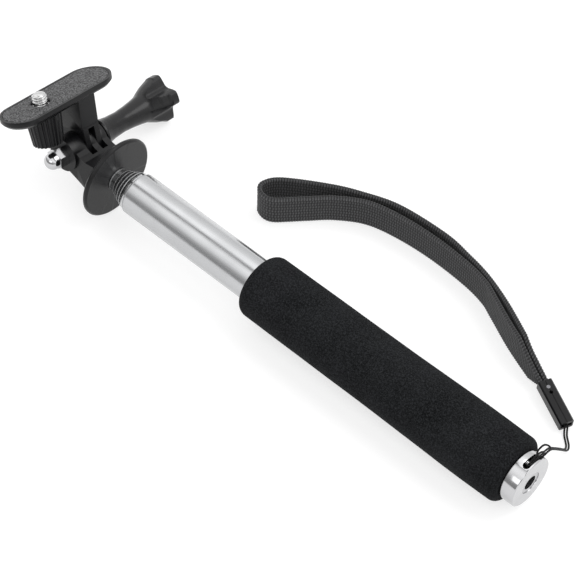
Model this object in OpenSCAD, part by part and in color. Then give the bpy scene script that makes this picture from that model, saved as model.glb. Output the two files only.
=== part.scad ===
// Telescopic hand-held camera stick, collapsed and lying on a table.
// Row frame: +Z up, +X along the stick from the head to the end cap, millimetres.
// Every rigid piece is drawn in the stick's own frame, whose X axis is the tube axis and whose
// x = 0 is the flange's back face, and is then laid on the table by stick().

/* [Telescope] */
// Outer diameter of the largest tube
tube_d = 19; // [18:0.1:20]
// Step in outer diameter from one tube to the next
tube_step = 1.75; // [1.6:0.05:1.8]
// Wall thickness of every tube
tube_wall = 0.4; // [0.3:0.05:0.4]
// Place of the outer tube's mouth
tube_mouth = 11.8; // [11:0.1:13]
// Place of the outer tube's cap end
tube_end = 214; // [205:0.5:216]
// Length of a friction sleeve
sleeve_l = 22; // [16:1:24]

/* [Grip and cap] */
// Place of the foam's head end
foam_start = 80.5; // [78:0.5:84]
// Place of the foam's cap end
foam_end = 216.6; // [214:0.1:218]
// Foam radius at the head end, at the swell and at the cap end
foam_r = [14.15, 14.9, 14.75];
// Outer diameter of the cap
cap_d = 22.4; // [21.5:0.1:23]
// Place of the cap's end face
cap_end = 223.4; // [222:0.1:225]
// Wall radius of the tripod socket
socket_r = 3.2; // [3.15:0.01:3.3]
// Depth of the tripod socket
socket_l = 7.5; // [6:0.5:9]

/* [Head] */
// Radius of the flange disc
flange_r = 18.7; // [17:0.1:20]
// Thickness of the flange disc
flange_t = 2.4; // [2:0.1:3]
// Distance from the flange's back face to the tilt axis
hinge_x = 24.9; // [24:0.1:27]
// Radius of the hinge ears
ear_r = 7.5; // [7:0.1:7.5]
// Thickness of each of the base's three ears
ear_t = 3; // [2.8:0.1:3]
// Place of the middle ear along the tilt axis
ear_y = 4.6; // [4.2:0.1:5]
// Place of the nut's seat along the tilt axis
nut_y = -7.5; // [-8:0.1:-7]
// Radius of the thumbscrew's shaft
shaft_r = 2.45; // [2.4:0.01:2.45]

/* [Platform] */
// Length of the camera platform
plate_l = 58; // [56:0.2:60]
// Width of the camera platform
plate_w = 20.4; // [19.6:0.2:21]
// Thickness of the camera platform
plate_t = 4.4; // [4:0.1:5]
// Distance from the tilt axis to the platform's top
plate_h = 27.2; // [26.8:0.2:29]
// Shift of the platform's middle along the tilt axis
plate_y = -4.6; // [-5.4:0.1:-4]
// Tilt of the platform from square to the stick
plate_tilt = 22.6; // [18:0.1:25]
// Place of the camera screw along the tilt axis
screw_y = -13.1; // [-14:0.1:-13]
// Place of the camera screw across the platform
screw_w = -0.6; // [-1:0.1:0]
// Radius of the camera screw
screw_r = 3.175; // [3.15:0.005:3.2]
// Height of the camera screw above the platform
screw_h = 4.4; // [4:0.1:6]
// Radius of the thumbwheel
wheel_r = 7.9; // [7.5:0.1:8]
// Height of the thumbwheel
wheel_h = 13.6; // [12:0.1:13.8]

/* [Thumbscrew] */
// Length from the tilt axis to the knob's end
knob_end = 53.8; // [52:0.2:58]
// Radius of the knob's handle at its waist
knob_waist_r = 4.75; // [4.5:0.05:5.2]
// Radius of the star head's lobes
star_r = 10.4; // [10:0.1:11.5]
// Radius of the star head between its lobes
star_valley_r = 6.7; // [6.4:0.1:7.4]
// Turn of the star head about its axis
star_turn = 55; // [50:1:60]

/* [Wrist strap] */
// Width of the webbing, which stands on its edge
strap_w = 15; // [14:0.5:16]
// Thickness of the webbing
strap_t = 2; // [1.8:0.1:2.2]
// Diameter of the lanyard string
string_d = 0.8; // [0.7:0.05:0.9]

/* [Hidden] */
$fn = 96;

// The stick lies on its flange, its foam and a lobe of the knob.
pitch = 1.06;
roll = -10.4;
origin_shift = [-89.5, -22.7, 18.75];

run = 0.05;               // radial clearance of a running fit
lip_l = 1.2;              // length of the rolled lip at a tube's mouth
mouths = [tube_mouth, 8.8, 6.9, 4.9, 2.9];                 // mouths of tubes 1 to 5
ends = [tube_end, 208, 206.5, 205, 203.5, 202];            // cap ends of tubes 1 to 6
ear_gap = ear_t + 0.1;    // space between two of the base's ears
neck_ear_t = ear_gap - 0.4;
wheel_top = plate_h - plate_t - 0.4;                       // the wheel's top face above the tilt axis
knob_seat = ear_y + 1.5 * ear_t + ear_gap + 0.95;
pad_margin = 1.2;
pad_t = 1;
pad_hole_r = 4.3;
shank_r = 3;              // radius of the camera screw below its thread
strap_floor = 0.1;        // lowest edge of the webbing

function tube_r(i) = (tube_d - (i - 1) * tube_step) / 2;

module stick() {
    translate(origin_shift) rotate([0, pitch, 0]) rotate([roll, 0, 0]) children();
}

// Turns a shape drawn along +Z so that it lies along +X.
module along_x(x) {
    translate([x, 0, 0]) rotate([0, 90, 0]) children();
}

// Draws along the tilt axis: +Z becomes +Y, and x, y become stick x and -z.
module on_hinge() {
    translate([-hinge_x, 0, 0]) rotate([-90, 0, 0]) children();
}

// Draws in the platform's frame: z is its normal, y its length, and the tilt axis is z = 0.
module on_platform() {
    translate([-hinge_x, 0, 0]) rotate([0, -plate_tilt, 0]) children();
}

module ring(r_out, r_in, h) {
    difference() {
        cylinder(r = r_out, h = h);
        translate([0, 0, -1]) cylinder(r = r_in, h = h + 2);
    }
}

// A flat bar of length l with round ends, along y.
module stadium(l, w) {
    for (s = [-1, 1]) translate([0, s * (l - w) / 2]) circle(d = w);
    square([w - 0.001, l - w], center = true);
}

// A tube from its mouth to its cap end, with a rolled lip that the next tube slides through.
module telescope_tube(i) {
    r = tube_r(i);
    x0 = i < 6 ? mouths[i - 1] : 0.2;
    lip = i < 6 ? tube_r(i + 1) + run : r - tube_wall;
    along_x(x0) difference() {
        cylinder(r = r, h = ends[i - 1] - x0);
        translate([0, 0, lip_l]) cylinder(r = r - tube_wall, h = ends[i - 1]);
        translate([0, 0, -1]) cylinder(r = lip, h = lip_l + 2);
    }
}

// The slotted sleeve on a tube's inner end, which grips the next larger tube.
module friction_sleeve(i) {
    bore = tube_r(i) + 0.02;
    shell = tube_r(i - 1) - tube_wall - run;
    collar = 3;
    slit = 1.2;
    along_x(ends[i - 1] - sleeve_l) difference() {
        ring(shell, bore, sleeve_l);
        for (a = [0, 120, 240]) rotate([0, 0, a])
            translate([0, -slit / 2, -1]) cube([tube_d, slit, sleeve_l - collar + 1]);
    }
}

// ---------------------------------------------------------------- grip and cap

module outer_tube() color([0.80, 0.80, 0.81]) stick() telescope_tube(1);

module foam_grip() {
    front = 4.2;          // rounding of the head end
    back = 3.2;           // rounding of the cap end
    bore = tube_r(1) + 0.05;
    profile = concat(
        [[bore, foam_start], [foam_r[0] - front, foam_start]],
        [for (a = [-75:15:0]) [foam_r[0] - front + front * cos(a), foam_start + front * (1 + sin(a))]],
        [[foam_r[1] - 0.5, 155], [foam_r[1], 190], [foam_r[1], 201]],
        [for (a = [0:15:75]) [foam_r[2] - back + back * cos(a), foam_end - back * (1 - sin(a))]],
        [[foam_r[2] - back, foam_end], [bore, foam_end]]);
    color([0.09, 0.09, 0.10]) stick() along_x(0) rotate_extrude() polygon(profile);
}

slot_x = 221.1;
slot_w = 3;
slot_l = 10.4;
slot_angle = 88;          // middle of the lanyard slot, from +Y towards +Z
cap_face_t = 1.6;
plug_r = tube_d / 2 - tube_wall - 0.02;
insert_r = 5;             // radius of the brass insert in the plug

// Places a shape at an angle about the stick's axis, with +Z pointing outwards.
module on_cap(angle, x) {
    translate([x, 0, 0]) rotate([angle - 90, 0, 0]) children();
}

module end_cap() {
    r = cap_d / 2;
    bevel = 0.35;
    skirt = foam_end + 0.05;
    color([0.82, 0.82, 0.84]) stick() difference() {
        along_x(skirt) rotate_extrude() polygon([[0, 0], [r - 0.4, 0], [r, 0.4],
            [r, cap_end - skirt - bevel], [r - bevel, cap_end - skirt], [0, cap_end - skirt]]);
        along_x(skirt - 1) cylinder(r = plug_r + 0.02, h = cap_end - skirt + 1 - cap_face_t);
        along_x(cap_end - 3) cylinder(r = insert_r + 0.05, h = 4);
        on_cap(slot_angle, slot_x) translate([0, 0, 5.5]) linear_extrude(8) stadium(slot_l, slot_w);
    }
}

// The core that holds the cap in the tube.
module cap_plug() {
    start = 209.5;
    color([0.15, 0.15, 0.16]) stick() difference() {
        along_x(start) cylinder(r = plug_r, h = cap_end - cap_face_t - 0.05 - start);
        along_x(start - 1) cylinder(r = insert_r + 0.05, h = 20);
        // pocket under the lanyard slot, and the pin's hole beside it
        on_cap(slot_angle, slot_x) translate([-2.1, -8, 5.4]) cube([6, 16, 6]);
        on_cap(slot_angle, slot_x - 3.6) translate([0, 0, pin_at]) rotate([0, 90, 0])
            cylinder(r = pin_r + 0.02, h = 4);
    }
}

module socket_insert() {
    color([0.72, 0.60, 0.35]) stick() along_x(cap_end - socket_l - 1.5 - 0.3) difference() {
        cylinder(r = insert_r, h = socket_l + 1.5);
        translate([0, 0, 1.5]) cylinder(r = socket_r, h = socket_l + 1);
    }
}

// The pin under the slot that the string is looped round.
pin_r = 1.2;
pin_at = 7.8;             // distance from the stick's axis
module lanyard_pin() {
    color([0.75, 0.75, 0.77]) stick() on_cap(slot_angle, slot_x - 3.5)
        translate([0, 0, pin_at]) rotate([0, 90, 0]) cylinder(r = pin_r, h = 4.8);
}

// ---------------------------------------------------------------- lanyard, clasp and strap

function blend4(a, b, c, d, t) = 0.5 * (2 * b + (c - a) * t + (2 * a - 5 * b + 4 * c - d) * t * t
    + (3 * b - a - 3 * c + d) * t * t * t);
// A smooth curve through the points, with n steps between each two.
function smooth(p, n) = [for (i = [0:len(p) - 2], j = [0:n - 1])
    blend4(p[max(i - 1, 0)], p[i], p[i + 1], p[min(i + 2, len(p) - 1)], j / n), p[len(p) - 1]];
function unit(v) = v / norm(v);
function directions(p) = [for (i = [0:len(p) - 1])
    unit(p[min(i + 1, len(p) - 1)] - p[max(i - 1, 0)])];
function carry(v, t) = unit(v - (v * t) * t);
function sides(t, i = 0, last = [0.1, 0.2, 1], out = []) = i == len(t) ? out :
    let (s = carry(last, t[i])) sides(t, i + 1, s, concat(out, [s]));

// A round tube swept along a path.
module swept_tube(path, r, n) {
    t = directions(path);
    s = sides(t);
    count = len(path);
    points = [for (i = [0:count - 1], k = [0:n - 1])
        path[i] + r * (cos(360 * k / n) * s[i] + sin(360 * k / n) * cross(t[i], s[i]))];
    polyhedron(points, concat(
        [[for (k = [0:n - 1]) n - 1 - k]],
        [for (i = [0:count - 2], k = [0:n - 1]) let (m = (k + 1) % n)
            [i * n + k, i * n + m, (i + 1) * n + m, (i + 1) * n + k]],
        [[for (k = [0:n - 1]) (count - 1) * n + k]]));
}

// Middle line of the string's two strands, from the clasp's mouth up to the cap.
string_legs = [[120.7, 16.6, 3.05], [122.4, 15.6, 2.6], [123.4, 14.3, 1.2], [124.6, 12.9, 0.5],
    [126.4, 11.3, 0.5], [127.9, 9.9, 0.5], [129.1, 7.9, 1.3], [129.8, 5.2, 4], [130.1, 2, 8],
    [130.3, -1.4, 12], [130.6, -4.8, 16], [130.9, -7.9, 19.2]];
string_gap = 1.1;         // distance between the two strands
// One strand's way from there over and round the pin to the eye's top, in on_cap's frame.
string_hitch = [[0.5, 8.6, 9.6], [0.5, 6.6, 10.7], [0.5, 4.4, 11.2], [0.5, 2.2, 10.6],
    [0.5, 0, 9.6], [0.5, -1.3, 9.1], [0.5, -1.8, 7.8], [0.5, -1.3, 6.5], [0.5, 0, 6],
    [0.5, 1.6, 6.5], [0.5, 2.9, 7.6], [0.5, 3.6, 8.9], [0.55, 4, 9.9], [1.2, 4.6, 10.7],
    [1.5, 5.2, 11.4], [1.6, 6.4, 12], [1.6, 7.8, 12.3], [1.4, 9.1, 12.3], [0.8, 10, 12.1]];
string_eye = [0, 10.3, 12];

// A point of on_cap's frame at the lanyard slot, in the row frame.
function from_cap(p) = let (a = slot_angle - 90 + roll, x = slot_x + p[0],
    y = p[1] * cos(a) - p[2] * sin(a), z = p[1] * sin(a) + p[2] * cos(a))
    origin_shift + [x * cos(pitch) + z * sin(pitch), y, z * cos(pitch) - x * sin(pitch)];
function reversed(p) = [for (i = [len(p) - 1:-1:0]) p[i]];
// One strand: side is -1 or 1.
function strand(side) = let (t = directions(string_legs)) concat(
    [for (i = [0:len(t) - 1]) string_legs[i] + side * string_gap / 2 * unit([-t[i][1], t[i][0], 0])],
    [for (p = string_hitch) from_cap([side * p[0], p[1], p[2]])]);

module lanyard_string() {
    route = concat(strand(-1), [from_cap(string_eye)], reversed(strand(1)));
    color([0.06, 0.06, 0.06]) swept_tube(route, string_d / 2, 8);
}

clasp_from = [103.6, 24.6, 5.2];      // middle of the clasp's strap end
clasp_turn = -25;                     // heading of the clasp in the XY plane
clasp_dip = 6.5;                      // slope of the clasp down to its string end
clasp_l = 20.8;
clasp_w = 6.2;
clasp_h = 5;
clasp_seam = 0.2;
rivet_x = 3.4;                        // place of the rivet from the strap end
rivet_r = 0.8;
latch_x = 6;                          // place of the small latch hole from the strap end
latch_r = 0.75;

module on_clasp() {
    translate(clasp_from) rotate([0, 0, clasp_turn]) rotate([0, clasp_dip, 0]) children();
}

// One half of the clasp: side is -1 or 1.
module clasp_half(side) {
    wall = 0.7;
    bevel = 0.6;
    w = (clasp_w - clasp_seam) / 2;
    on_clasp() scale([1, side, 1]) translate([0, clasp_seam / 2, 0]) difference() {
        rotate([90, 0, 90]) linear_extrude(clasp_l) polygon([[0, -clasp_h / 2],
            [w - bevel, -clasp_h / 2], [w, -clasp_h / 2 + bevel], [w, clasp_h / 2 - bevel],
            [w - bevel, clasp_h / 2], [0, clasp_h / 2]]);
        translate([-1, -1, -clasp_h / 2 + wall]) cube([8, 1 + w - wall, clasp_h - 2 * wall]);
        translate([clasp_l - 4, -1, -1]) cube([6, 1 + w - wall, 2]);
        translate([rivet_x, -clasp_seam / 2, -5]) cylinder(r = rivet_r + 0.02, h = 10);
        // latch hole on the seam, in the top only
        translate([latch_x, -clasp_seam / 2, 0]) cylinder(r = latch_r, h = 5);
    }
}

module clasp_left() color([0.07, 0.07, 0.07]) clasp_half(-1);
module clasp_right() color([0.07, 0.07, 0.07]) clasp_half(1);

module clasp_rivet() {
    color([0.6, 0.6, 0.62]) on_clasp() translate([rivet_x, 0, -clasp_h / 2 - 0.1])
        cylinder(r = rivet_r, h = clasp_h + 0.2);
}

// Middle line of the webbing in plan, from the clasp round the loop and back.
strap_route = [[107.6, 21.4], [103.1, 23.5], [95.5, 26], [80.5, 31.9], [65, 39.4], [57, 43],
    [45, 45.4], [26, 46.6], [8, 45.6], [-6.5, 42.4], [-18, 35.2], [-25.3, 27.6], [-30.8, 21.4],
    [-35, 17], [-39, 15.6], [-43, 16.8], [-44.2, 20.4], [-40, 26.2], [-24, 37.2], [-11.5, 43.4],
    [5, 49], [28.8, 51], [43, 48.9], [56, 45.9], [71.2, 40], [89.5, 31], [97, 28.2],
    [104.1, 25.7], [108.6, 23.6]];

module wrist_strap() {
    path = smooth(strap_route, 4);
    t = directions(path);
    function side(k) = [for (i = [0:len(path) - 1])
        path[i] + k * strap_t / 2 * [-t[i][1], t[i][0]]];
    outline = concat(side(1), [for (i = [len(path) - 1:-1:0]) side(-1)[i]]);
    low = 3.6;            // where the gathered end sits in the clasp
    high = 6.3;
    color([0.11, 0.11, 0.12]) difference() {
        translate([0, 0, strap_floor]) linear_extrude(strap_w) polygon(outline);
        // the webbing is gathered towards the clasp
        for (s = [[high, 20, 1], [low, -20, -1]])
            translate([80, 0, s[0]]) mirror([0, 0, s[2] < 0 ? 1 : 0])
            rotate([0, 0, clasp_turn]) rotate([90, 0, 0]) linear_extrude(80, center = true)
            polygon([[-12, 24], [-12, 11], [10, 0], [60, 0], [60, 24]]);
        on_clasp() translate([rivet_x, 0, -5]) cylinder(r = rivet_r + 0.05, h = 10);
    }
}

// ---------------------------------------------------------------- telescope

module tube_2() color([0.78, 0.78, 0.80]) stick() telescope_tube(2);
module tube_3() color([0.76, 0.76, 0.78]) stick() telescope_tube(3);
module tube_4() color([0.74, 0.74, 0.76]) stick() telescope_tube(4);
module tube_5() color([0.72, 0.72, 0.74]) stick() telescope_tube(5);
module tube_6() color([0.70, 0.70, 0.72]) stick() telescope_tube(6);
module sleeve_2() color([0.85, 0.82, 0.72]) stick() friction_sleeve(2);
module sleeve_3() color([0.85, 0.82, 0.72]) stick() friction_sleeve(3);
module sleeve_4() color([0.85, 0.82, 0.72]) stick() friction_sleeve(4);
module sleeve_5() color([0.85, 0.82, 0.72]) stick() friction_sleeve(5);
module sleeve_6() color([0.85, 0.82, 0.72]) stick() friction_sleeve(6);

// ---------------------------------------------------------------- head

stud_r = 2;
module head_plug() {
    color([0.2, 0.2, 0.21]) stick() along_x(0.3) difference() {
        cylinder(r = tube_r(6) - tube_wall - 0.02, h = 18);
        translate([0, 0, -1]) cylinder(r = stud_r + 0.03, h = 13);
    }
}

module head_stud() {
    color([0.6, 0.6, 0.62]) stick() along_x(-10) cylinder(r = stud_r, h = 21);
}

module flange_disc() {
    edge = 0.7;
    color([0.05, 0.05, 0.05]) stick() along_x(-flange_t) difference() {
        rotate_extrude() polygon([[0, 0], [flange_r - edge, 0], [flange_r, edge],
            [flange_r, flange_t - edge], [flange_r - edge, flange_t], [0, flange_t]]);
        translate([0, 0, -1]) cylinder(r = stud_r + 0.03, h = flange_t + 2);
    }
}

// The base's flared foot seen from the side, in the stick's x-z plane. It starts inside the ears.
function foot_outline(back) = [[-22, 5.4], [-hinge_x + 1.4, -6.5], [-19, -ear_r - 0.3],
    [-16, -ear_r - 1.2], [-11, -ear_r - 2.9], [back, -ear_r - 5.5], [back, ear_r],
    [back - 2.5, 5.2], [-8.5, 3.6], [-13.5, 2.9], [-16.6, 3.4]];

module head_base() {
    back = -flange_t - 0.05;
    right = ear_y + 1.5 * ear_t + ear_gap;
    flank = nut_y + 1.2;  // the foot's left side, from which the nut's round boss stands out
    slot_r = 10.4;        // how far the slots reach from the tilt axis
    color([0.06, 0.06, 0.06]) stick() difference() {
        union() {
            translate([0, right, 0]) rotate([90, 0, 0]) linear_extrude(right - flank)
                polygon(foot_outline(back));
            on_hinge() translate([0, 0, nut_y]) cylinder(r = ear_r, h = right - nut_y);
        }
        // slots for the platform's ears, with floors rounded about the tilt axis
        for (s = [-1, 1]) on_hinge() translate([0, 0, ear_y + s * (ear_t + ear_gap) / 2 - ear_gap / 2]) {
            cylinder(r = slot_r, h = ear_gap);
            translate([-20, -20, 0]) cube([20, 40, ear_gap]);
        }
        on_hinge() translate([0, 0, nut_y - 1]) cylinder(r = shaft_r + run, h = right - nut_y + 2);
        along_x(-10.5) cylinder(r = stud_r + 0.03, h = 12);
    }
}

module acorn_nut() {
    across = 8;
    hex_h = 5;
    dome_r = 3.75;
    color([0.82, 0.82, 0.84]) stick() on_hinge() rotate([180, 0, 20]) translate([0, 0, 0.05 - nut_y])
        difference() {
        union() {
            cylinder(d = across / cos(30), h = hex_h, $fn = 6);
            translate([0, 0, hex_h - 0.5]) cylinder(r = dome_r, h = 1.4);
            translate([0, 0, hex_h + 0.9]) sphere(r = dome_r - 0.01);
        }
        translate([0, 0, -1]) cylinder(r = shaft_r + run, h = 8);
    }
}

// ---------------------------------------------------------------- thumbscrew

module thumb_washer() {
    color([0.7, 0.7, 0.72]) stick() on_hinge() translate([0, 0, knob_seat - 0.85])
        ring(5, shaft_r + 0.03, 0.8);
}

module thumbscrew_shaft() {
    color([0.7, 0.7, 0.72]) stick() on_hinge() translate([0, 0, -13.6]) cylinder(r = shaft_r, h = 40);
}

function star_radius(a) = min(star_r, star_valley_r + (1.12 * star_r - star_valley_r)
    * pow(0.5 + 0.5 * cos(4 * (a - star_turn)), 1.2));

module thumbscrew_knob() {
    flare = 41;
    step = 5;
    color([0.06, 0.06, 0.06]) stick() on_hinge() difference() {
        union() {
            rotate_extrude() polygon([[0, knob_seat], [7, knob_seat], [7.2, knob_seat + 1],
                [6.3, knob_seat + 1.8], [5.6, 17.5], [5.05, 21], [knob_waist_r, 27], [5.1, 32],
                [5.7, 37], [6.4, flare], [6.4, knob_end - 0.5], [0, knob_end - 0.5]]);
            intersection() {
                translate([0, 0, flare - 1]) linear_extrude(knob_end - flare + 1) polygon(
                    [for (a = [0:step:360 - step]) star_radius(a) * [cos(a), sin(a)]]);
                rotate_extrude() polygon([[0, flare - 1], [6.1, flare - 1], [8.6, 45.6], [9.9, 49.6],
                    [12, 53], [12, knob_end], [0, knob_end]]);
            }
        }
        translate([0, 0, knob_seat - 1]) cylinder(r = shaft_r + 0.02, h = 15.5);
    }
}

// ---------------------------------------------------------------- platform

module platform() {
    rim = 2;              // height of the straight edge
    under = plate_t - rim;
    neck_w = 9.4;
    neck_d = 14.4;
    ears_w = 2 * neck_ear_t + ear_t + 0.4;
    root = ear_r + 1.5;   // how far the ears' slot reaches from the tilt axis
    color([0.07, 0.07, 0.07]) stick() on_platform() difference() {
        union() {
            translate([0, plate_y, plate_h - rim]) linear_extrude(rim) stadium(plate_l, plate_w);
            translate([0, plate_y, plate_h - plate_t]) hull() for (s = [-1, 1])
                translate([0, s * (plate_l - plate_w) / 2, 0]) rotate_extrude($fn = 36) polygon([[0, 0],
                    [plate_w / 2 - 4, 0], [plate_w / 2 - 1.6, 0.7], [plate_w / 2 - 0.4, under - 0.5],
                    [plate_w / 2 - 0.2, under + 0.2], [0, under + 0.2]]);
            translate([0, ear_y + neck_w / 2, 0]) rotate([90, 0, 0]) linear_extrude(neck_w) polygon(
                [[-neck_d / 2, root], [neck_d / 2 - 0.3, root], [neck_d / 2 + 0.8, plate_h - plate_t + 1],
                [-neck_d / 2, plate_h - plate_t + 1]]);
            translate([0, ear_y + ears_w / 2, 0]) rotate([90, 0, 0]) linear_extrude(ears_w) polygon(
                concat([for (a = [-180:5:0]) (ear_r - 0.2) * [cos(a), sin(a)]],
                [[ear_r - 0.4, root + 1], [-ear_r + 0.4, root + 1]]));
        }
        // slot over the base's middle ear
        translate([-20, ear_y - ear_t / 2 - 0.2, -20]) cube([40, ear_t + 0.4, 20 + root]);
        rotate([-90, 0, 0]) translate([0, 0, -5]) cylinder(r = shaft_r + run, h = 20);
        translate([0, plate_y, plate_h - pad_t]) linear_extrude(pad_t + 1)
            stadium(plate_l - 2 * pad_margin, plate_w - 2 * pad_margin);
        translate([screw_w, screw_y, 0]) cylinder(r = shank_r + run, h = plate_h + 1);
        translate([screw_w, screw_y, plate_h - pad_t - 0.9]) cylinder(r = pad_hole_r, h = 2);
    }
}

module rubber_pad() {
    color([0.23, 0.23, 0.24]) stick() on_platform() difference() {
        translate([0, plate_y, plate_h - pad_t + 0.02]) linear_extrude(pad_t - 0.02)
            stadium(plate_l - 2 * pad_margin - 0.4, plate_w - 2 * pad_margin - 0.4);
        translate([screw_w, screw_y, plate_h - 3]) cylinder(r = pad_hole_r, h = 6);
    }
}

module camera_screw() {
    bevel = 0.8;
    foot = wheel_top - wheel_h + 1.2;
    thread = plate_h - 0.2;
    tip = plate_h + screw_h;
    color([0.8, 0.8, 0.82]) stick() on_platform() translate([screw_w, screw_y, 0]) rotate_extrude()
        polygon([[0, foot], [shank_r, foot], [shank_r, thread], [screw_r, thread],
            [screw_r, tip - bevel], [screw_r - bevel, tip], [0, tip]]);
}

// Clips on the screw's shank and keeps the screw in the platform.
module screw_clip() {
    color([0.5, 0.5, 0.52]) stick() on_platform() translate([screw_w, screw_y, plate_h - pad_t - 0.75])
        ring(pad_hole_r - 0.3, shank_r + 0.02, 0.6);
}

ribs = 24;
module thumbwheel() {
    groove = 0.5;
    draft = 0.85;         // the wheel narrows downwards
    pitch_a = 360 / ribs;
    color([0.07, 0.07, 0.07]) stick() on_platform() translate([screw_w, screw_y, wheel_top - wheel_h])
        difference() {
        translate([0, 0, wheel_h]) mirror([0, 0, 1]) linear_extrude(wheel_h, scale = draft) polygon(
            [for (i = [0:ribs - 1], k = [[0, 0], [0.2, 1], [0.6, 1], [0.8, 0]])
            let (a = (i + k[0]) * pitch_a) (wheel_r - groove + groove * k[1]) * [cos(a), sin(a)]]);
        translate([0, 0, 1.2]) cylinder(r = shank_r + 0.02, h = wheel_h);
    }
}

outer_tube();
foam_grip();
end_cap();
cap_plug();
socket_insert();
lanyard_pin();
lanyard_string();
clasp_left();
clasp_right();
clasp_rivet();
wrist_strap();
tube_2();
tube_3();
tube_4();
tube_5();
tube_6();
sleeve_2();
sleeve_3();
sleeve_4();
sleeve_5();
sleeve_6();
head_plug();
head_stud();
flange_disc();
head_base();
acorn_nut();
thumbscrew_shaft();
thumbscrew_knob();
thumb_washer();
platform();
rubber_pad();
thumbwheel();
camera_screw();
screw_clip();
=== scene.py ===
import math

import bmesh
import bpy
import numpy as np
from mathutils import Matrix, Vector


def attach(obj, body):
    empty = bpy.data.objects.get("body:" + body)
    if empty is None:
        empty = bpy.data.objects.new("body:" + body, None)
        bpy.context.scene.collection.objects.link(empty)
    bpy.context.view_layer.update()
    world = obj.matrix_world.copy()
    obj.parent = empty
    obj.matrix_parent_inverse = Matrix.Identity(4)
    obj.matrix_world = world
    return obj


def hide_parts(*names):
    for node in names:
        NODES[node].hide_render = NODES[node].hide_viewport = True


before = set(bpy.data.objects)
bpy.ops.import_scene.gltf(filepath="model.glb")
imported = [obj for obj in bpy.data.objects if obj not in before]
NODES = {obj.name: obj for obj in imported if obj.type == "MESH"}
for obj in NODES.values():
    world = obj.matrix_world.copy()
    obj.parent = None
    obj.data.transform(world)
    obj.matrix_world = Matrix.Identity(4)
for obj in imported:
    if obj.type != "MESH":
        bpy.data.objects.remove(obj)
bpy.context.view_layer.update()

MM = 0.001  # lengths below are in millimetres, and Blender's are in metres
rng = np.random.default_rng(7)

# ---------------------------------------------------------------- how the stick lies

PITCH = math.radians(1.06)              # the cap end is lower than the head end
ROLL = math.radians(-10.4)              # turned about its length, onto the knob
ORIGIN = Vector((-89.5, -22.7, 18.75))  # the stick's own origin, behind the flange disc
HINGE_X = 24.9                          # from there to the tilt axis
PLATE_TILT = math.radians(22.6)
PLATE_H = 27.2                          # from the tilt axis to the platform's top

STICK = Matrix.Translation(ORIGIN) @ Matrix.Rotation(PITCH, 4, "Y") @ Matrix.Rotation(ROLL, 4, "X")
PLATFORM = STICK @ Matrix.Translation((-HINGE_X, 0, 0)) @ Matrix.Rotation(-PLATE_TILT, 4, "Y")


# ---------------------------------------------------------------- camera

# Fitted to the photo's outlines, in metres.
CAMERA_AT = (0.4405, -0.5180, 0.8386)
CAMERA_VIEW = (-0.4148, 0.4741, -0.7766)
CAMERA_UP = (-0.5304, 0.5675, 0.6298)
FOCAL_LENGTH = 162.5

camera_data = bpy.data.cameras.new("camera")
camera_data.lens = FOCAL_LENGTH
camera_data.sensor_width = 36
camera_data.clip_start = 0.05
camera_data.clip_end = 20
camera = bpy.data.objects.new("camera", camera_data)
bpy.context.scene.collection.objects.link(camera)
view = Vector(CAMERA_VIEW).normalized()
right = view.cross(Vector(CAMERA_UP)).normalized()
up = right.cross(view).normalized()
camera.matrix_world = Matrix.Translation(CAMERA_AT) @ Matrix(
    (right, up, -view)).transposed().to_4x4()
bpy.context.scene.camera = camera

# ---------------------------------------------------------------- materials


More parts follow.
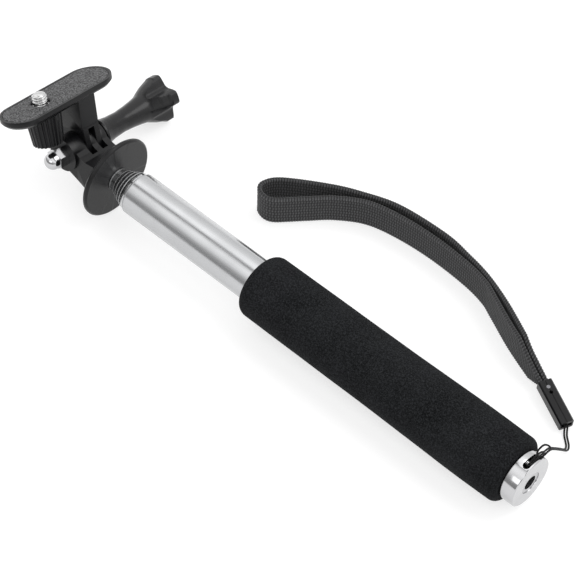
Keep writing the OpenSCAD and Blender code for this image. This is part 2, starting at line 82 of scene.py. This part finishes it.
class Nodes:
    """A short way to write a material's node tree, on the piece's own coordinates in metres."""

    def __init__(self, name, **sockets):
        self.material = bpy.data.materials.new(name)
        self.material.use_nodes = True
        self.tree = self.material.node_tree
        self.shader = self.tree.nodes["Principled BSDF"]
        for key, value in sockets.items():
            self.shader.inputs[key.replace("_", " ")].default_value = value
        self.coords = self.tree.nodes.new("ShaderNodeTexCoord").outputs["Object"]

    def link(self, a, b):
        self.tree.links.new(a, b)

    def mapped(self, scale, rotation):
        n = self.tree.nodes.new("ShaderNodeMapping")
        n.inputs["Scale"].default_value = scale
        n.inputs["Rotation"].default_value = rotation
        self.link(self.coords, n.inputs["Vector"])
        return n.outputs["Vector"]

    def noise(self, scale, detail=3, rough=0.55, vector=None):
        n = self.tree.nodes.new("ShaderNodeTexNoise")
        n.inputs["Scale"].default_value = scale
        n.inputs["Detail"].default_value = detail
        n.inputs["Roughness"].default_value = rough
        self.link(vector or self.coords, n.inputs["Vector"])
        return n.outputs["Fac"]

    def cells(self, scale):
        n = self.tree.nodes.new("ShaderNodeTexVoronoi")
        n.inputs["Scale"].default_value = scale
        self.link(self.coords, n.inputs["Vector"])
        return n.outputs["Distance"]

    def ramp(self, value, low, high, a, b):
        """Maps value from low..high to a..b, which are numbers."""
        n = self.tree.nodes.new("ShaderNodeMapRange")
        for key, v in zip(("From Min", "From Max", "To Min", "To Max"), (low, high, a, b)):
            n.inputs[key].default_value = v
        self.link(value, n.inputs["Value"])
        return n.outputs["Result"]

    def mix(self, value, a, b):
        """Mixes two colours, each a tuple or a socket."""
        n = self.tree.nodes.new("ShaderNodeMix")
        n.data_type = "RGBA"
        for key, tint in (("A", a), ("B", b)):
            if isinstance(tint, (tuple, list)):
                n.inputs[key].default_value = (*tint, 1)
            else:
                self.link(tint, n.inputs[key])
        self.link(value, n.inputs["Factor"])
        return n.outputs["Result"]

    def along_stick(self):
        """How far a point lies along the stick, in metres."""
        axis = STICK.to_3x3().col[0]
        n = self.tree.nodes.new("ShaderNodeVectorMath")
        n.operation = "DOT_PRODUCT"
        n.inputs[1].default_value = axis
        self.link(self.coords, n.inputs[0])
        return self.math("SUBTRACT", n.outputs["Value"], axis.dot(ORIGIN) * MM)

    def math(self, kind, a, b):
        """One sum, where a and b are each a number or a socket."""
        n = self.tree.nodes.new("ShaderNodeMath")
        n.operation = kind
        for i, v in enumerate((a, b)):
            if isinstance(v, (int, float)):
                n.inputs[i].default_value = v
            else:
                self.link(v, n.inputs[i])
        return n.outputs[0]

    def bump(self, height, distance, strength, under=None):
        n = self.tree.nodes.new("ShaderNodeBump")
        n.inputs["Strength"].default_value = strength
        n.inputs["Distance"].default_value = distance
        self.link(height, n.inputs["Height"])
        if under is not None:
            self.link(under, n.inputs["Normal"])
        return n.outputs["Normal"]

    def set(self, socket, value):
        self.link(value, self.shader.inputs[socket])


MOUTHS = (11.8, 8.8, 6.9, 4.9, 2.9, 0.2)  # where each tube's mouth lies along the stick
LIP_W = 0.5                               # width of the rolled lip at a mouth
LIP_DULL = 0.4                            # how much rougher the lip is
SEAM_SHADE_W = 0.45                             # width of the painted shade line round a tube in its seam
RING_FADE = 0.12                          # width of the soft edges of the painted shade line and of the dull lip
# colour of the painted shade line in a tube's seam
SEAM_SHADE_TINT = (0.01, 0.01, 0.01)
STREAK_SCALE = (9, 2600, 2600)            # along and across the stick


def drawn_metal(name, tint, rough, streak, mouth, seam=None):
    """Metal drawn along the stick: long fine streaks and faint handling marks.

    mouth is the place of the tube's own rolled lip, which is duller. seam is the mouth that the
    tube comes out of. The dark line there is painted shade from the gap between the two tubes; it is
    painted into the tube's colour and travels with it.
    """
    m = Nodes(name, Metallic=1.0)
    streaks = m.noise(1.0, 4, 0.6, m.mapped(STREAK_SCALE, (0, -PITCH, 0)))
    marks = m.noise(70, 3)
    colour = m.mix(m.ramp(marks, 0.35, 0.7, 0, 1), tint, [c * 0.93 for c in tint])
    along = m.along_stick()
    dull = m.ramp(along, (mouth + LIP_W) * MM, (mouth + LIP_W + RING_FADE) * MM, LIP_DULL, 0)
    # painted shade: a dark line round the tube where it comes out of the next tube's mouth
    if seam is not None:
        start = m.ramp(along, (seam - SEAM_SHADE_W - RING_FADE) * MM, (seam - SEAM_SHADE_W) * MM, 0, 1)
        stop = m.ramp(along, (seam + RING_FADE) * MM, (seam + 2 * RING_FADE) * MM, 1, 0)
        colour = m.mix(m.math("MULTIPLY", start, stop), colour, SEAM_SHADE_TINT)
    m.set("Base Color", colour)
    worn = m.math("ADD", m.ramp(streaks, 0.3, 0.7, rough - streak, rough + streak),
                  m.ramp(marks, 0.4, 0.75, 0, 0.05))
    m.set("Roughness", m.math("ADD", worn, dull))
    m.set("Normal", m.bump(streaks, 0.00002, 0.35))
    return m.material


def plated(name, tint, rough):
    """Bright plating with faint smudges."""
    m = Nodes(name, Metallic=1.0)
    smudge = m.noise(160, 4, 0.6)
    fine = m.noise(2400, 2)
    m.set("Base Color", m.mix(m.ramp(smudge, 0.4, 0.75, 0, 1), tint, [c * 0.95 for c in tint]))
    m.set("Roughness", m.ramp(smudge, 0.35, 0.75, rough, rough + 0.07))
    m.set("Normal", m.bump(fine, 0.000006, 0.3))
    return m.material


def moulded(name, tint, rough, grain, depth, gloss=0.35):
    """Moulded plastic: grain, slightly uneven gloss and lighter rubbed spots."""
    m = Nodes(name, Specular_IOR_Level=gloss)
    fine = m.noise(grain, 3, 0.6)
    wide = m.noise(110, 3)
    m.set("Base Color", m.mix(m.ramp(wide, 0.35, 0.7, 0, 1), tint, [c * 1.5 + 0.001 for c in tint]))
    m.set("Roughness", m.math("ADD", m.ramp(fine, 0.3, 0.7, rough - 0.05, rough + 0.05),
                              m.ramp(wide, 0.4, 0.7, 0, 0.05)))
    m.set("Normal", m.bump(fine, depth, 0.5))
    return m.material


TUBE_TINT = (0.52, 0.525, 0.535)
NECK_TINT = (0.62, 0.625, 0.635)
TUBE = drawn_metal("tube_metal", TUBE_TINT, 0.2, 0.05, MOUTHS[0])
CHROME = plated("cap_chrome", (0.53, 0.53, 0.54), 0.1)
FACE = plated("socket_nickel", (0.46, 0.46, 0.47), 0.22)
STEEL = plated("screw_steel", (0.6, 0.6, 0.6), 0.2)
BLACKENED = plated("blackened_steel", (0.16, 0.16, 0.17), 0.22)
GLOSS = moulded("black_gloss", (0.003, 0.003, 0.0035), 0.18, 2600, 0.000006, 0.22)
DISC = moulded("disc_plastic", (0.004, 0.004, 0.0044), 0.32, 1300, 0.00012, 0.27)
PLASTIC = moulded("black_plastic", (0.0035, 0.0035, 0.004), 0.3, 2300, 0.00003, 0.26)
KNOB = moulded("knob_plastic", (0.005, 0.005, 0.0055), 0.22, 2800, 0.00001, 0.3)
CORE = moulded("core_plastic", (0.02, 0.02, 0.021), 0.5, 2500, 0.00002)
NYLON = moulded("sleeve_nylon", (0.62, 0.58, 0.47), 0.45, 1800, 0.00002)


def rubber():
    """Grained grey rubber of the camera pad."""
    m = Nodes("pad_rubber", Specular_IOR_Level=0.35)
    grain = m.noise(1500, 4, 0.7)
    pits = m.cells(1250)
    dust = m.noise(1400, 4, 0.75)
    m.set("Base Color", m.mix(m.ramp(dust, 0.43, 0.58, 0, 1),
                              (0.012, 0.012, 0.0125), (0.135, 0.135, 0.138)))
    m.set("Roughness", m.ramp(grain, 0.3, 0.7, 0.62, 0.82))
    m.set("Normal", m.bump(pits, 0.00012, 0.55, m.bump(grain, 0.00016, 0.7)))
    return m.material


def foam_material():
    """Closed-cell foam: fine cells, matt, with pale specks."""
    m = Nodes("foam", Specular_IOR_Level=0.06)
    cell = m.cells(1500)
    speck = m.noise(1500, 4, 0.8)
    wide = m.noise(60, 3)
    tone = m.math("ADD", m.ramp(speck, 0.44, 0.66, 0, 0.8), m.ramp(wide, 0.3, 0.7, 0, 0.2))
    m.set("Base Color", m.mix(tone, (0.0028, 0.003, 0.0033), (0.0285, 0.03, 0.0325)))
    m.set("Roughness", m.ramp(speck, 0.3, 0.7, 0.78, 0.95))
    m.set("Normal", m.bump(cell, 0.00016, 0.5, m.bump(speck, 0.0002, 0.6)))
    return m.material


def yarn(name, tint, light, scale):
    """Spun black yarn with loose fibres, with a painted highlight where the mesh's relief stands out
    and painted shade in its grooves.
    """
    m = Nodes(name, Specular_IOR_Level=0.2, Sheen_Weight=0.1, Sheen_Roughness=0.45)
    fibre = m.noise(scale, 4, 0.7)
    fuzz = m.noise(scale * 3.1, 2, 0.6)
    relief = m.tree.nodes.new("ShaderNodeAttribute")
    relief.attribute_name = "relief"
    # painted highlight on the relief's crests, fading to painted shade in the grooves
    tone = m.math("MULTIPLY", m.ramp(fibre, 0.3, 0.7, 0.5, 1), relief.outputs["Fac"])
    m.set("Base Color", m.mix(tone, tint, light))
    m.set("Roughness", m.ramp(fuzz, 0.3, 0.7, 0.62, 0.85))
    m.set("Normal", m.bump(fuzz, 0.00006, 0.6, m.bump(fibre, 0.00012, 0.5)))
    return m.material


PAD = rubber()
FOAM = foam_material()
# the second colour is the painted highlight given to the crests of the yarn's relief
WEBBING = yarn("webbing", (0.0015, 0.0015, 0.0018), (0.15, 0.15, 0.154), 1700)
CORD = yarn("cord", (0.002, 0.002, 0.0024), (0.008, 0.008, 0.0085), 3200)

FINISH = {
    "outer_tube": TUBE, "end_cap": CHROME, "cap_plug": CORE, "socket_insert": FACE,
    "lanyard_pin": STEEL, "clasp_left": GLOSS, "clasp_right": GLOSS, "clasp_rivet": BLACKENED,
    "head_plug": CORE, "head_stud": STEEL, "flange_disc": DISC, "head_base": PLASTIC,
    "acorn_nut": CHROME, "platform": PLASTIC, "rubber_pad": PAD, "camera_screw": STEEL,
    "screw_clip": STEEL, "thumbwheel": PLASTIC, "thumbscrew_shaft": STEEL,
    "thumbscrew_knob": KNOB, "thumb_washer": STEEL,
}
for i in range(2, 7):
    FINISH[f"tube_{i}"] = drawn_metal(
        f"tube_metal_{i}", NECK_TINT, 0.1, 0.03, MOUTHS[i - 1], MOUTHS[i - 2])
    FINISH[f"sleeve_{i}"] = NYLON


def finish_node(name, material):
    node = NODES[name]
    if not node.material_slots:
        node.data.materials.append(material)
    for slot in node.material_slots:
        slot.material = material


for node_name, node_material in FINISH.items():
    finish_node(node_name, node_material)


EDGE_WIDTHS = {
    "head_base": 0.35, "platform": 0.35, "clasp_left": 0.35, "clasp_right": 0.35,
    "acorn_nut": 0.12, "thumbscrew_knob": 0.22, "flange_disc": 0.12, "end_cap": 0.12,
    "thumbwheel": 0.1, "rubber_pad": 0.1, "outer_tube": 0.28, "tube_2": 0.25, "tube_3": 0.25,
    "tube_4": 0.25, "tube_5": 0.25,
}
EDGE_ANGLE = 32     # degrees; an edge sharper than this is rounded
WELD_GAP = 0.004


def soften(name, width):
    """Rounds a CAD node's sharp edges a little, as a mould does."""
    node = NODES[name]
    weld = node.modifiers.new("weld", "WELD")
    weld.merge_threshold = WELD_GAP * MM
    bevel = node.modifiers.new("edges", "BEVEL")
    bevel.width = width * MM
    bevel.segments = 2
    bevel.limit_method = "ANGLE"
    bevel.angle_limit = math.radians(EDGE_ANGLE)
    bevel.harden_normals = False
    bevel.use_clamp_overlap = True


# ---------------------------------------------------------------- helpers for meshes


def add_object(name, mesh, material, body):
    mesh.materials.append(material)
    for polygon in mesh.polygons:
        polygon.use_smooth = True
    piece = bpy.data.objects.new(name, mesh)
    bpy.context.scene.collection.objects.link(piece)
    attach(piece, body)
    return piece


def grid_mesh(name, rings, caps=True, relief=None):
    """A skin over closed rings of points, each with the same count.

    relief is how far each point stands out, from 0 to 1, and yarn() reads it to paint highlights on
    the crests and shade in the grooves.
    """
    count = len(rings[0])
    verts = [p for ring in rings for p in ring]
    faces = []
    for i in range(len(rings) - 1):
        for k in range(count):
            m = (k + 1) % count
            faces.append((i * count + k, i * count + m, (i + 1) * count + m, (i + 1) * count + k))
    if caps:
        faces.append(tuple(range(count - 1, -1, -1)))
        faces.append(tuple((len(rings) - 1) * count + k for k in range(count)))
    mesh = bpy.data.meshes.new(name)
    mesh.from_pydata([tuple(v) for v in verts], [], faces)
    mesh.update()
    if relief is not None:
        mesh.attributes.new("relief", "FLOAT", "POINT").data.foreach_set("value", relief)
    return mesh


def blend4(a, b, c, d, t):
    """The smooth curve from b to c, with a before it and d after it."""
    return 0.5 * (2 * b + (c - a) * t + (2 * a - 5 * b + 4 * c - d) * t * t
                  + (3 * b - a - 3 * c + d) * t ** 3)


def smooth_path(points, steps):
    """A smooth curve through the points, drawn the way the CAD draws its cords."""
    p = [np.array(v, float) for v in points]
    last = len(p) - 1
    path = [blend4(p[max(i - 1, 0)], p[i], p[i + 1], p[min(i + 2, last)], j / steps)
            for i in range(last) for j in range(steps)]
    return np.array(path + [p[-1]])


def even(path, spacing):
    """The path with its points a fixed distance apart, and each point's distance from the start."""
    length = np.concatenate([[0], np.cumsum(np.linalg.norm(np.diff(path, axis=0), axis=1))])
    count = max(int(round(length[-1] / spacing)), 2)
    at = np.linspace(0, length[-1], count + 1)
    return np.stack([np.interp(at, length, path[:, k]) for k in range(path.shape[1])], 1), at


def tangents(path):
    t = np.gradient(path, axis=0)
    return t / np.linalg.norm(t, axis=1)[:, None]


# ---------------------------------------------------------------- lanyard string

STRING_R = 0.42                  # at the crests of the plaits; the string is 0.8 mm across
STRING_GAP = 1.1                 # between the two strands' middles
PLAIT_PITCH = 1.9                # length of one turn of a plait
SLOT_X = 221.1                   # the cap's slot, along the stick
SLOT_ANGLE = math.radians(88)    # and round it
# The middle line of the two strands, from the clasp's mouth up to the cap.
STRING_LEGS = [
    (120.7, 16.6, 3.05), (122.4, 15.6, 2.6), (123.4, 14.3, 1.2), (124.6, 12.9, 0.5),
    (126.4, 11.3, 0.5), (127.9, 9.9, 0.5), (129.1, 7.9, 1.3), (129.8, 5.2, 4), (130.1, 2, 8),
    (130.3, -1.4, 12), (130.6, -4.8, 16), (130.9, -7.9, 19.2)]
# One strand from there round the pin and back to its eye, in the slot's own frame.
STRING_HITCH = [
    (0.5, 8.6, 9.6), (0.5, 6.6, 10.7), (0.5, 4.4, 11.2), (0.5, 2.2, 10.6), (0.5, 0, 9.6),
    (0.5, -1.3, 9.1), (0.5, -1.8, 7.8), (0.5, -1.3, 6.5), (0.5, 0, 6), (0.5, 1.6, 6.5),
    (0.5, 2.9, 7.6), (0.5, 3.6, 8.9), (0.55, 4, 9.9), (1.2, 4.6, 10.7), (1.5, 5.2, 11.4),
    (1.6, 6.4, 12), (1.6, 7.8, 12.3), (1.4, 9.1, 12.3), (0.8, 10, 12.1)]
STRING_EYE = (0, 10.3, 12)
AT_SLOT = STICK @ Matrix.Translation((SLOT_X, 0, 0)) @ Matrix.Rotation(
    SLOT_ANGLE - math.radians(90), 4, "X")


def strand(side):
    """One strand's points, from the clasp to the eye."""
    legs = np.array(STRING_LEGS, float)
    t = tangents(legs)
    normal = np.stack([-t[:, 1], t[:, 0], np.zeros(len(t))], 1)
    normal /= np.linalg.norm(normal, axis=1)[:, None]
    points = [tuple(v) for v in legs + side * STRING_GAP / 2 * normal]
    return points + [tuple(AT_SLOT @ Vector((side * x, y, z))) for x, y, z in STRING_HITCH]


string_route = strand(-1) + [tuple(AT_SLOT @ Vector(STRING_EYE))] + strand(1)[::-1]
string_path = smooth_path(string_route, 5)
string_path[:, 2] = np.maximum(string_path[:, 2], STRING_R)
string_even, string_at = even(string_path, 0.16)


def cord_mesh():
    """A braided cord, whose plaits are ridges that wind both ways round it."""
    path = string_even
    t = tangents(path)
    side = np.array((0.1, 0.2, 1.0))
    rings, relief = [], []
    count = 16
    for i, p in enumerate(path):
        side = side - (side @ t[i]) * t[i]
        side /= np.linalg.norm(side)
        other = np.cross(t[i], side)
        ring = []
        for k in range(count):
            a = 2 * math.pi * k / count
            turn = string_at[i] / PLAIT_PITCH * 2 * math.pi
            plait = math.cos(4 * (a + turn / 4)) * math.cos(4 * (a - turn / 4))
            r = STRING_R * (0.93 + 0.09 * plait)
            # relief, which yarn() turns into painted highlight on the plaits and painted shade
            # between them
            relief.append(0.5 + 0.5 * plait)
            ring.append(Vector(p + r * (math.cos(a) * side + math.sin(a) * other)) * MM)
        rings.append(ring)
    return grid_mesh("lanyard_cord", rings, relief=relief)


lanyard = add_object("lanyard_cord", cord_mesh(), CORD, "handle")
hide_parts("lanyard_string")

# ---------------------------------------------------------------- wrist strap

STRAP_W = 15.0
STRAP_LOW = 0.1      # its lowest edge, just off the table
# The webbing's middle line seen from above, from the clasp round the loop and back.
STRAP_ROUTE = [
    (107.6, 21.4), (103.1, 23.5), (95.5, 26), (80.5, 31.9), (65, 39.4), (57, 43), (45, 45.4),
    (26, 46.6), (8, 45.6), (-6.5, 42.4), (-18.2, 35), (-26, 27.2), (-32, 20.8), (-36.5, 16.4),
    (-40.5, 15.2), (-44.9, 16.8), (-46, 20.8), (-41.4, 27.4), (-24.6, 38.3), (-11.8, 44.4), (5, 49.8),
    (28.8, 51), (43, 48.9), (56, 45.9), (71.2, 40), (89.5, 31), (97, 28.2), (104.1, 25.7),
    (108.6, 23.6)]
STRAP_RIBS = 9       # wales across the width
STITCH = 1.2         # length of a stitch
STRAP_HALF = 0.66    # half the thickness between stitches
STITCH_H = 0.34      # how far a stitch stands out from that
# The webbing narrows over GATHER_L along the clasp's direction, to what the clasp's mouth holds.
CLASP_X = 80
CLASP_TURN = math.radians(-25)
CLASP_LOW, CLASP_HIGH = 3.6, 6.3
GATHER_END = 10
GATHER_L = 22
GATHER_RISE = 11
GATHER_THIN = 0.96   # thickness where it is gathered to less than GATHER_FULL of its width
GATHER_FULL = 0.6
strap_path, strap_at = even(smooth_path(STRAP_ROUTE, 8), 0.27)


def strap_mesh():
    """Knitted webbing on its edge: lengthwise wales of beaded stitches, with a rolled edge."""
    t = tangents(strap_path)
    across = np.stack([-t[:, 1], t[:, 0]], 1)
    steps = STRAP_RIBS * 6
    us = np.linspace(0, 1, steps + 1)
    rings, relief = [], []
    for i, p in enumerate(strap_path):
        x_cut = (p[0] - CLASP_X) * math.cos(CLASP_TURN) + p[1] * math.sin(CLASP_TURN)
        rise = GATHER_RISE * min(max((GATHER_END - x_cut) / GATHER_L, 0), 1)
        low = max(STRAP_LOW, CLASP_LOW - rise)
        high = min(STRAP_LOW + STRAP_W, CLASP_HIGH + rise)
        squeeze = (high - low) / STRAP_W
        ring, heights = [], []
        for face in (1, -1):
            for u in us if face == 1 else us[::-1]:
                rib = u * STRAP_RIBS
                index = int(min(rib, STRAP_RIBS - 1e-6))
                wale = abs(math.sin(math.pi * rib))
                edge = max(abs(2 * u - 1) - 0.9, 0) / 0.1
                phase = (2 * math.pi * (strap_at[i] / STITCH + 0.2 * (index % 2))
                         + face * 0.8 * (rib - index))
                bead = 0.5 + 0.5 * math.cos(phase)
                rolled = 1.0 if index in (0, STRAP_RIBS - 1) else 0.72
                stand = (0.3 + 0.7 * wale ** 0.7) * (0.12 + 0.88 * bead) * rolled
                half = (STRAP_HALF + STITCH_H * stand) * math.sqrt(max(1 - edge ** 2, 0.0))
                shrink = 1 if squeeze > GATHER_FULL else GATHER_THIN
                # relief, which yarn() turns into painted highlight on the beads and rolled edges and
                # painted shade between them
                heights.append(stand)
                z = low + (high - low) * u
                q = p + face * half * shrink * across[i]
                ring.append(Vector((q[0], q[1], z)) * MM)
        rings.append(ring[:steps + 1] + ring[steps + 2:-1])
        relief += heights[:steps + 1] + heights[steps + 2:-1]
    return grid_mesh("wrist_webbing", rings, relief=relief)


webbing = add_object("wrist_webbing", strap_mesh(), WEBBING, "handle")
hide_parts("wrist_strap")

# ---------------------------------------------------------------- foam grip

FOAM_START = 80.5
FOAM_END = 216.6
FOAM_R = (14.15, 14.9, 14.75)         # at its front, at its widest and at its back
FOAM_MIDDLE, FOAM_WIDEST, FOAM_NARROWING = 155, 190, 201
FOAM_BORE = 9.58
FOAM_ROUND = (4.2, 3.2)               # its front and back edges
FOAM_WAVES, FOAM_UNEVEN = 14, 0.06    # how uneven the cut foam is


def foam_mesh():
    """The grip's turned outline with the unevenness of cut foam."""
    front, back = FOAM_ROUND
    outline = [(FOAM_BORE, FOAM_START)]
    outline += [(FOAM_BORE + (FOAM_R[0] - front - FOAM_BORE) * k / 3, FOAM_START) for k in (1, 2)]
    outline += [(FOAM_R[0] - front + front * math.cos(math.radians(a)),
                 FOAM_START + front * (1 + math.sin(math.radians(a)))) for a in range(-90, 1, 9)]
    xs = np.linspace(FOAM_START + front + 1, FOAM_NARROWING, 130)
    knots = np.array([
        (FOAM_START + front, FOAM_R[0]), (FOAM_MIDDLE, FOAM_R[1] - 0.5), (FOAM_WIDEST, FOAM_R[1]),
        (FOAM_NARROWING, FOAM_R[1]), (FOAM_END - back, FOAM_R[2])])
    outline += [(float(np.interp(x, knots[:, 0], knots[:, 1])), float(x)) for x in xs]
    outline += [(FOAM_R[2] - back + back * math.cos(math.radians(a)),
                 FOAM_END - back * (1 - math.sin(math.radians(a)))) for a in range(0, 91, 9)]
    outline += [(FOAM_BORE, FOAM_END)]
    count = 160
    bumps = [(rng.uniform(0.02, 0.3), int(rng.integers(1, 6)), rng.uniform(0, 6.28))
             for _ in range(FOAM_WAVES)]
    rings = []
    for r, x in outline:
        ring = []
        for k in range(count):
            a = 2 * math.pi * k / count
            waves = sum(math.sin(w * x + n * a + p) for w, n, p in bumps)
            uneven = waves / FOAM_WAVES * FOAM_UNEVEN
            rr = r + (uneven if r > FOAM_BORE + 1 else 0)
            ring.append((STICK @ Vector((x, rr * math.cos(a), rr * math.sin(a)))) * MM)
        rings.append(ring)
    rings.append(list(rings[0]))
    mesh = grid_mesh("foam_sleeve", rings, caps=False)
    work = bmesh.new()
    work.from_mesh(mesh)
    bmesh.ops.remove_doubles(work, verts=work.verts, dist=0.000002)
    bmesh.ops.recalc_face_normals(work, faces=work.faces)
    work.to_mesh(mesh)
    work.free()
    return mesh


foam = add_object("foam_sleeve", foam_mesh(), FOAM, "handle")
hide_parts("foam_grip")

# ---------------------------------------------------------------- camera screw with its thread

SCREW_Y, SCREW_W = -13.1, -0.6    # along and across the platform
SCREW_R = 3.175
SCREW_H = 4.4                     # above the platform
RIM_T = 4.4                       # the platform's thickness at its rim
WHEEL_GAP, WHEEL_H = 0.4, 13.6
FOOT_IN = 1.2                     # from the thumbwheel's foot up to the screw's
SCREW_FOOT = PLATE_H - RIM_T - WHEEL_GAP - WHEEL_H + FOOT_IN
SHANK_R = 2.96
TIP_ROUND = 0.75
THREAD_PITCH = 1.27               # 20 turns to the inch
THREAD_DEPTH = 0.62


def screw_mesh():
    """A plain shank with a thread above it that runs out into a rounded tip."""
    start, tip = PLATE_H - 0.2, PLATE_H + SCREW_H
    count = 96
    heights = [SCREW_FOOT, SCREW_FOOT + 0.01]
    heights += list(np.linspace(SCREW_FOOT + 0.5, start - 0.3, 6))
    heights += list(np.linspace(start, tip - TIP_ROUND, 110))
    rings = []
    for z in heights:
        ring = []
        for k in range(count):
            a = 2 * math.pi * k / count
            if z < start:
                r = SHANK_R
            else:
                turn = (z - start) / THREAD_PITCH - a / (2 * math.pi)
                saw = abs((turn % 1.0) * 2 - 1)
                crest = min(saw * 1.25, 1.0)
                fade = min((z - start) / 0.5, 1.0) * min((tip - TIP_ROUND - z) / 0.35 + 0.25, 1.0)
                r = SCREW_R - THREAD_DEPTH * (1 - crest * fade)
            ring.append((r * math.cos(a), r * math.sin(a), z))
        rings.append(ring)
    top_r = SCREW_R - THREAD_DEPTH
    for b in range(1, 9):
        e = math.radians(b * 10.8)
        rings.append([(top_r * math.cos(e) * math.cos(2 * math.pi * k / count),
                       top_r * math.cos(e) * math.sin(2 * math.pi * k / count),
                       tip - TIP_ROUND + TIP_ROUND * math.sin(e)) for k in range(count)])
    placed = [[(PLATFORM @ Vector((x + SCREW_W, y + SCREW_Y, z))) * MM for x, y, z in ring]
              for ring in rings]
    return grid_mesh("threaded_screw", placed)


screw = add_object("threaded_screw", screw_mesh(), STEEL, "screw")
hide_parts("camera_screw")

# ---------------------------------------------------------------- rounded edges on moulded parts

for part, edge_width in EDGE_WIDTHS.items():
    soften(part, edge_width)

# ---------------------------------------------------------------- floor and light

FLOOR = 3            # half the floor's width, in metres
FLOOR_GLOW = 0.66    # the floor gives off light, so that it comes out white

floor_mesh = bpy.data.meshes.new("floor")
floor_mesh.from_pydata([(-FLOOR, -FLOOR, 0), (FLOOR, -FLOOR, 0), (FLOOR, FLOOR, 0),
                        (-FLOOR, FLOOR, 0)], [], [(0, 1, 2, 3)])
floor = bpy.data.objects.new("floor", floor_mesh)
floor.location.z = -0.0001
bpy.context.scene.collection.objects.link(floor)
floor_paint = Nodes("floor_paint", Roughness=0.9, Specular_IOR_Level=0.1)
floor_paint.set("Base Color", floor_paint.mix(
    floor_paint.noise(3), (0.36, 0.36, 0.36), (0.4, 0.4, 0.4)))
floor_paint.shader.inputs["Emission Color"].default_value = (1, 1, 1, 1)
floor_paint.shader.inputs["Emission Strength"].default_value = FLOOR_GLOW
floor_mesh.materials.append(floor_paint.material)

# How bright the studio is at each angle round the stick, from behind it (0) over the top (90) to
# in front of it (180). Set to follow the bands on the tube in the photo: a bright back, a
# dark gap overhead, soft light in front of it and a darker near side.
STUDIO_TOP = 1.7
STUDIO = [(0, 0.9), (40, 1.2), (60, 1.7), (75, 1.65), (82, 0.9), (85, 0.25), (90, 0.25), (95, 1.0),
          (104, 1.5), (118, 1.5), (134, 1.2), (142, 0.9), (150, 0.62), (165, 0.4), (178, 0.3)]
STUDIO_ENDS = (0.6, 0.6, 0.6, 1)    # at the near horizon, where the ramp's two ends meet

world = bpy.data.worlds.new("studio")
bpy.context.scene.world = world
world.use_nodes = True
background = world.node_tree.nodes["Background"]
background.inputs["Strength"].default_value = STUDIO_TOP
sky = world.node_tree.nodes
turned = sky.new("ShaderNodeMapping")
turned.inputs["Rotation"].default_value = (0, -math.pi / 2, -math.pi / 2)
around = sky.new("ShaderNodeTexGradient")
around.gradient_type = "RADIAL"
tones = sky.new("ShaderNodeValToRGB")
world.node_tree.links.new(sky.new("ShaderNodeTexCoord").outputs["Generated"], turned.inputs["Vector"])
world.node_tree.links.new(turned.outputs["Vector"], around.inputs["Vector"])
world.node_tree.links.new(around.outputs["Fac"], tones.inputs["Fac"])
world.node_tree.links.new(tones.outputs["Color"], background.inputs["Color"])
for angle, tone in STUDIO:
    stop = tones.color_ramp.elements.new(0.5 + angle / 360)
    stop.color = (tone / STUDIO_TOP, tone / STUDIO_TOP, tone / STUDIO_TOP, 1)
for end in (tones.color_ramp.elements[0], tones.color_ramp.elements[-1]):
    end.color = STUDIO_ENDS


def area(name, place, size, power):
    """A soft light of that size in metres and power in watts, aimed at the stick."""
    light = bpy.data.lights.new(name, "AREA")
    light.shape = "RECTANGLE"
    light.size, light.size_y = size
    light.energy = power
    lamp = bpy.data.objects.new(name, light)
    lamp.location = place
    lamp.rotation_mode = "QUATERNION"
    lamp.rotation_quaternion = (Vector((0, 0, 0.01)) - Vector(place)).to_track_quat("-Z", "Y")
    bpy.context.scene.collection.objects.link(lamp)


area("key", (0.5, 0.7, 1.2), (0.8, 0.8), 5)
area("front", (0.1, -1.2, 0.8), (0.9, 0.5), 2)

scene = bpy.context.scene
scene.view_settings.view_transform = "Standard"
scene.view_settings.look = "None"
scene.view_settings.exposure = 0.0
